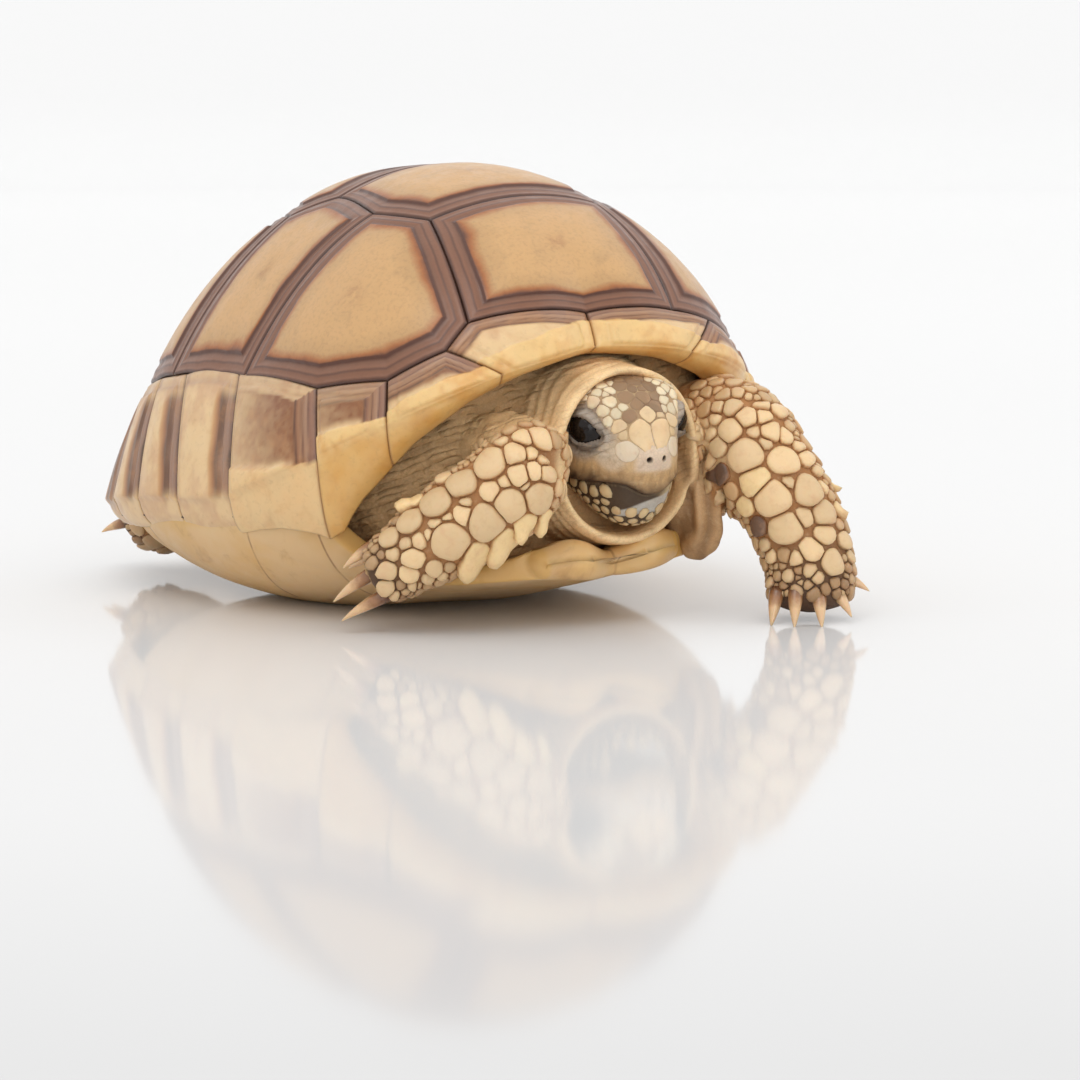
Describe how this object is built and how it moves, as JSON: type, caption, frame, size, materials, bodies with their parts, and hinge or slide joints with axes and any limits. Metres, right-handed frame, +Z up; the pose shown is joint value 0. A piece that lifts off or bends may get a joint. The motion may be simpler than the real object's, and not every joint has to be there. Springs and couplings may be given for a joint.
{
  "type": "young sulcata tortoise model",
  "caption": "Still life-size model of a young African spurred tortoise resting on its belly, head half drawn in, one foreleg folded across the front.",
  "frame": {"origin": "on the flat underside of the belly plate, at floor level, near the middle of the shell", "axes": "+Z up, the head faces -Y, the animal's left side is +X"},
  "size_m": [0.0602, 0.0789, 0.0442],
  "materials": {
    "upper_shell": "satin horn, tan centres with brown growth rings",
    "lower_shell": "satin horn, pale cream yellow",
    "skin": "fine wrinkled skin",
    "scales": "cream scales over brown skin",
    "head": "mottled brown and cream scales",
    "jaw": "small cream scales, grey beak edge",
    "eye": "wet gloss, near black",
    "claw": "satin horn, paler towards the tip"
  },
  "bodies": {
    "root": {"carapace": "upper_shell", "plastron": "lower_shell", "torso": "skin", "neck": "skin", "head": "head", "lower_jaw": "jaw", "eye_right": "eye", "eye_left": "eye", "tail": "skin", "foreleg_right": "scales", "claw_fore_right_1": "claw", "claw_fore_right_2": "claw", "claw_fore_right_3": "claw", "claw_fore_right_4": "claw", "claw_fore_right_5": "claw", "foreleg_left": "scales", "claw_fore_left_1": "claw", "claw_fore_left_2": "claw", "claw_fore_left_3": "claw", "claw_fore_left_4": "claw", "claw_fore_left_5": "claw", "hindleg_right": "scales", "claw_hind_right_1": "claw", "claw_hind_right_2": "claw", "claw_hind_right_3": "claw", "claw_hind_right_4": "claw", "hindleg_left": "scales", "claw_hind_left_1": "claw", "claw_hind_left_2": "claw", "claw_hind_left_3": "claw", "claw_hind_left_4": "claw"}
  },
  "joints": []
}
